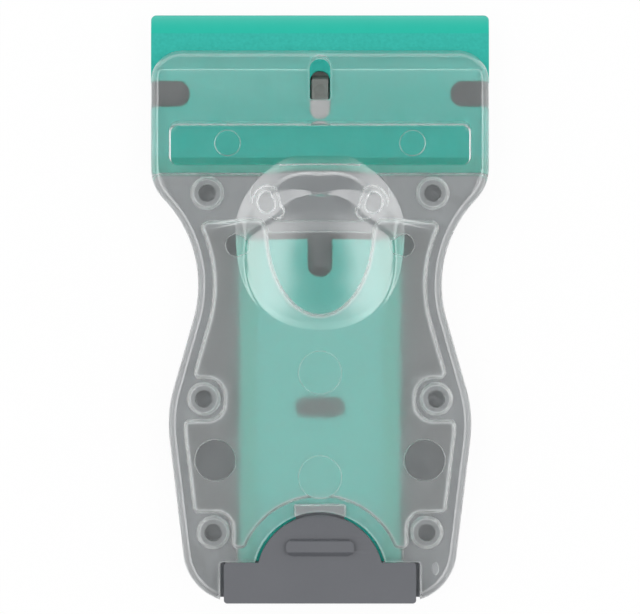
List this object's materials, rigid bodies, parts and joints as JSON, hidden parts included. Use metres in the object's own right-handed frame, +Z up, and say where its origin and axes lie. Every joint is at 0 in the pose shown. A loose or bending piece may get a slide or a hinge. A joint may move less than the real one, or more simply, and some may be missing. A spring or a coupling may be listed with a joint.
{
  "type": "plastic razor scraper",
  "caption": "Pocket scraper with a clear front shell over a grey rear shell, a plastic razor blade in the head, spare blades in the handle and a pull-out end cap.",
  "frame": {"origin": "under the middle of the whole object's box, on the surface that the scraper's back lies on", "axes": "+Y along the handle towards the cutting edge, +X across the head, +Z up out of the clear face"},
  "size_m": [0.039, 0.0676, 0.0102],
  "materials": {
    "grey_shell": "finely textured moulded ABS",
    "clear_shell": "clear moulded polycarbonate, slightly hazy",
    "teal_blade": "fine-textured moulded acetal with smooth bevels",
    "dark_grey_cap": "finely textured moulded ABS"
  },
  "bodies": {
    "handle": {"rear_shell": "grey_shell", "front_shell": "clear_shell"},
    "catch": {"blade_catch": "grey_shell"},
    "blade": {"working_blade": "teal_blade"},
    "spares": {"spare_blade_1": "teal_blade", "spare_blade_2": "teal_blade", "spare_blade_3": "teal_blade", "spare_blade_4": "teal_blade"},
    "cap": {"end_cap": "dark_grey_cap"}
  },
  "joints": [
    {"name": "blade_slide", "type": "slide", "parent": "handle", "child": "blade", "axis": [0, 1, 0], "range_m": [0, 0.0016]},
    {"name": "catch_press", "type": "hinge", "parent": "handle", "child": "catch", "pos_m": [0, 0.0283, 0.0028], "axis": [1, 0, 0], "range_deg": [0, 17], "stiffness_Nm_per_rad": 0.04},
    {"name": "cap_slide", "type": "slide", "parent": "handle", "child": "cap", "axis": [0, -1, 0], "range_m": [0, 0.044]},
    {"name": "spares_slide", "type": "slide", "parent": "handle", "child": "spares", "axis": [0, -1, 0], "range_m": [0, 0.044]}
  ],
  "couplings": [
    {"joint": "spares_slide", "follows": "cap_slide", "ratio": 1}
  ]
}
